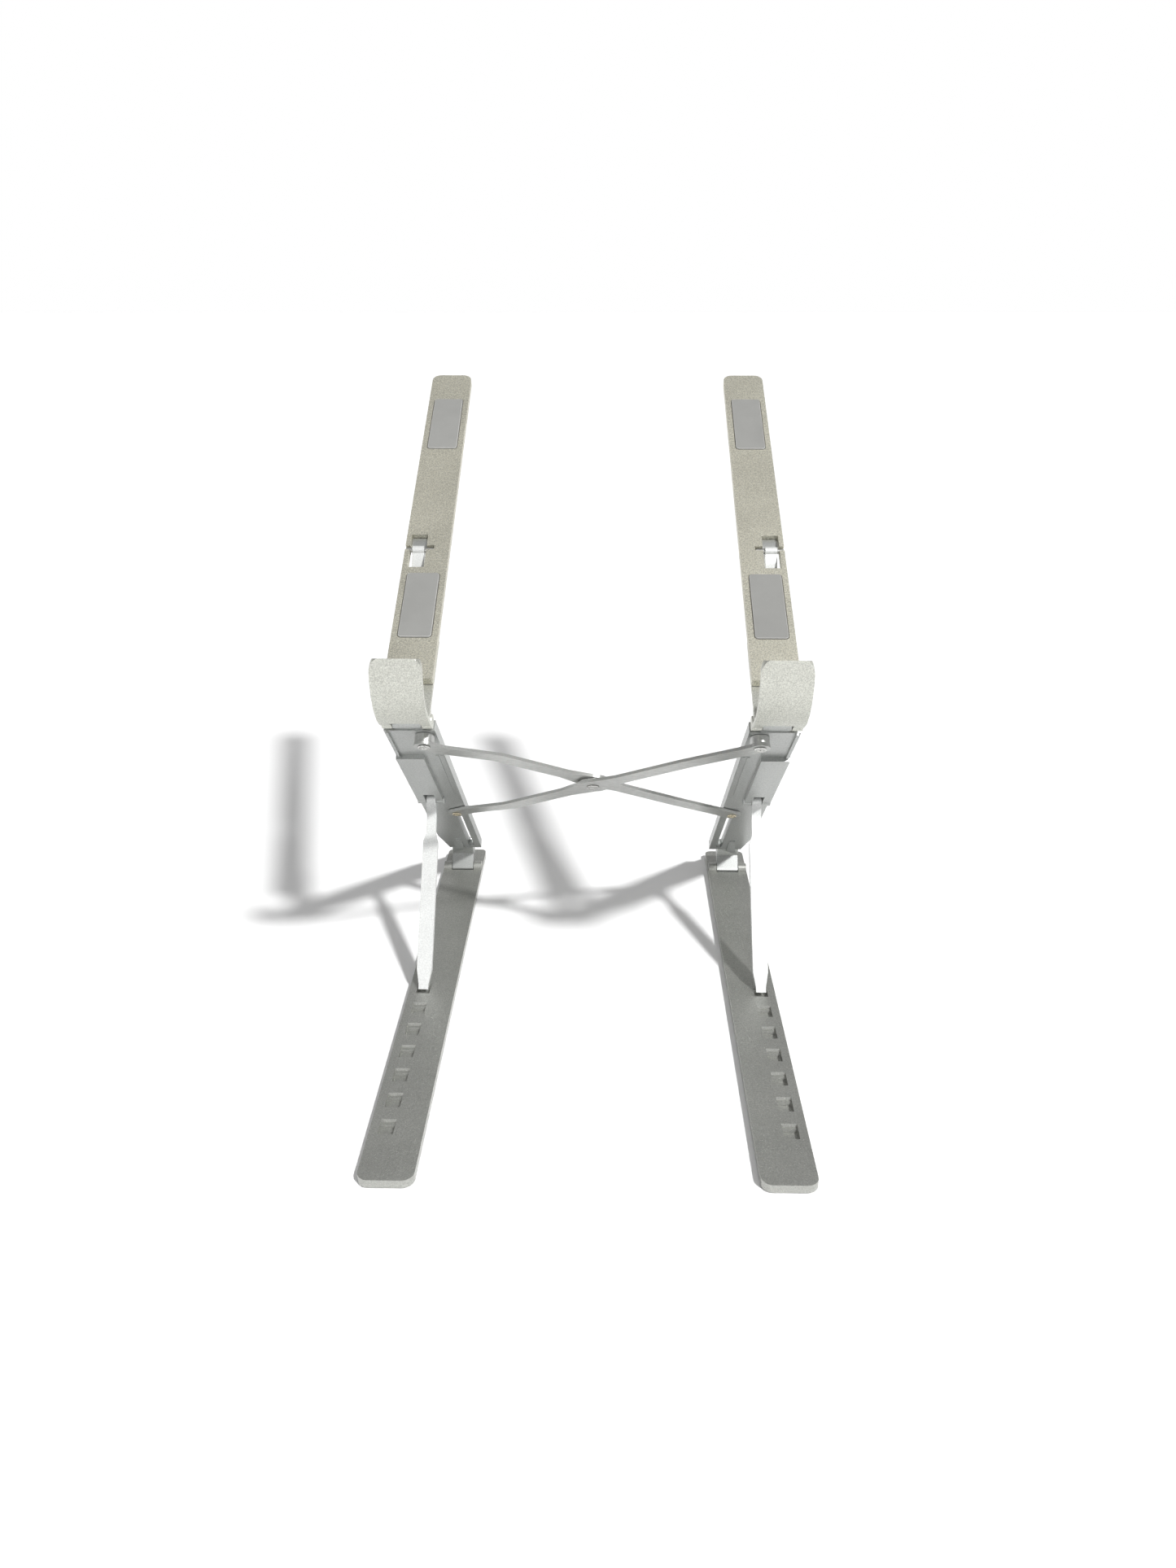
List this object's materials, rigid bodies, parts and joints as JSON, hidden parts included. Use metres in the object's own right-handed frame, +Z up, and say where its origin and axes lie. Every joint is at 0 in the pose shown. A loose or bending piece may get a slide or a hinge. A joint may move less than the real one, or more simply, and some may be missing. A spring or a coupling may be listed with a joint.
{
  "type": "folding laptop stand",
  "caption": "Folding aluminium laptop stand: padded sloping bars with front hooks on struts, bases and an X brace.",
  "frame": {"origin": "on the table under the middle of the open stand", "axes": "+Z up, -Y towards the user and the hooks, X across the bars"},
  "size_m": [0.1714, 0.3, 0.2655],
  "materials": {
    "bar": "bead-blasted, warm silver",
    "hook": "bead-blasted",
    "riser": "satin",
    "base": "satin",
    "strut": "bright satin",
    "brace": "brushed",
    "steel": "polished",
    "brass": "pale brass",
    "silicone": "matte grey silicone",
    "rubber": "matte"
  },
  "bodies": {
    "left_base": {"base_plate_left": "base", "foot_front_left": "rubber", "foot_rear_left": "rubber", "base_hinge_pin_left": "steel"},
    "left_riser": {"riser_left": "riser", "head_hinge_pin_left": "steel", "strut_pin_left": "steel", "brace_spacer_left": "brace", "brace_rivet_left": "steel"},
    "left_top": {"hook_left": "hook", "top_bar_left": "bar", "pad_front_left": "silicone", "pad_rear_left": "silicone", "tail_rivet_front_left": "steel", "tail_rivet_rear_left": "steel", "link_pin_left": "steel"},
    "left_strut": {"strut_left": "strut"},
    "left_link": {"link_left": "strut"},
    "right_base": {"base_plate_right": "base", "foot_front_right": "rubber", "foot_rear_right": "rubber", "base_hinge_pin_right": "steel"},
    "right_riser": {"riser_right": "riser", "head_hinge_pin_right": "steel", "strut_pin_right": "steel", "brace_spacer_right": "brace", "brace_rivet_right": "steel"},
    "right_top": {"hook_right": "hook", "top_bar_right": "bar", "pad_front_right": "silicone", "pad_rear_right": "silicone", "tail_rivet_front_right": "steel", "tail_rivet_rear_right": "steel", "link_pin_right": "steel"},
    "right_strut": {"strut_right": "strut"},
    "right_link": {"link_right": "strut"},
    "brace_a": {"brace_arm_a": "brace", "slider_rivet_right": "brass", "hub_rivet": "steel", "hub_washer": "steel"},
    "brace_b": {"brace_arm_b": "brace", "slider_rivet_left": "brass"}
  },
  "joints": [
    {"name": "left_riser_fold", "type": "hinge", "parent": "left_base", "child": "left_riser", "pos_m": [-0.075, 0.1, 0.0045], "axis": [1, 0, 0], "range_deg": [0, 41.3]},
    {"name": "left_strut_swing", "type": "hinge", "parent": "left_riser", "child": "left_strut", "pos_m": [-0.075, 0.03019, 0.07807], "axis": [1, 0, 0], "range_deg": [-92.9, 0]},
    {"name": "left_top_fold", "type": "hinge", "parent": "left_riser", "child": "left_top", "pos_m": [-0.075, -0.04191, 0.14448], "axis": [1, 0, 0], "range_deg": [-71.2, 0]},
    {"name": "left_link_swing", "type": "hinge", "parent": "left_top", "child": "left_link", "pos_m": [-0.075, 0.03506, 0.1982], "axis": [1, 0, 0], "range_deg": [-8.1, 0]},
    {"name": "brace_fold", "type": "hinge", "parent": "left_riser", "child": "brace_a", "pos_m": [-0.0694, -0.04161, 0.12891], "axis": [0, 0.66, 0.7513], "range_deg": [0, 43]},
    {"name": "brace_hub", "type": "hinge", "parent": "brace_a", "child": "brace_b", "pos_m": [0, -0.00067, 0.09294], "axis": [0, 0.66, 0.7513], "range_deg": [-86.1, 0]},
    {"name": "right_riser_pivot", "type": "hinge", "parent": "brace_b", "child": "right_riser", "pos_m": [0.0694, -0.04161, 0.12891], "axis": [0, 0.66, 0.7513], "range_deg": [0, 43.1]},
    {"name": "right_base_fold", "type": "hinge", "parent": "right_riser", "child": "right_base", "pos_m": [0.075, 0.1, 0.0045], "axis": [1, 0, 0], "range_deg": [-41.4, 0]},
    {"name": "right_strut_swing", "type": "hinge", "parent": "right_riser", "child": "right_strut", "pos_m": [0.075, 0.03019, 0.07807], "axis": [1, 0, 0], "range_deg": [-92.9, 0]},
    {"name": "right_top_fold", "type": "hinge", "parent": "right_riser", "child": "right_top", "pos_m": [0.075, -0.04191, 0.14448], "axis": [1, 0, 0], "range_deg": [-71.2, 0]},
    {"name": "right_link_swing", "type": "hinge", "parent": "right_top", "child": "right_link", "pos_m": [0.075, 0.03506, 0.1982], "axis": [1, 0, 0], "range_deg": [-8.1, 0]}
  ],
  "couplings": [
    {"joint": "left_strut_swing", "follows": "left_riser_fold", "ratio": -2.2469},
    {"joint": "right_strut_swing", "follows": "left_riser_fold", "ratio": -2.2469},
    {"joint": "right_base_fold", "follows": "left_riser_fold", "ratio": -1},
    {"joint": "left_link_swing", "follows": "left_top_fold", "ratio": 0.112},
    {"joint": "right_link_swing", "follows": "right_top_fold", "ratio": 0.112},
    {"joint": "brace_hub", "follows": "brace_fold", "ratio": -2},
    {"joint": "right_riser_pivot", "follows": "brace_fold", "ratio": 1}
  ]
}
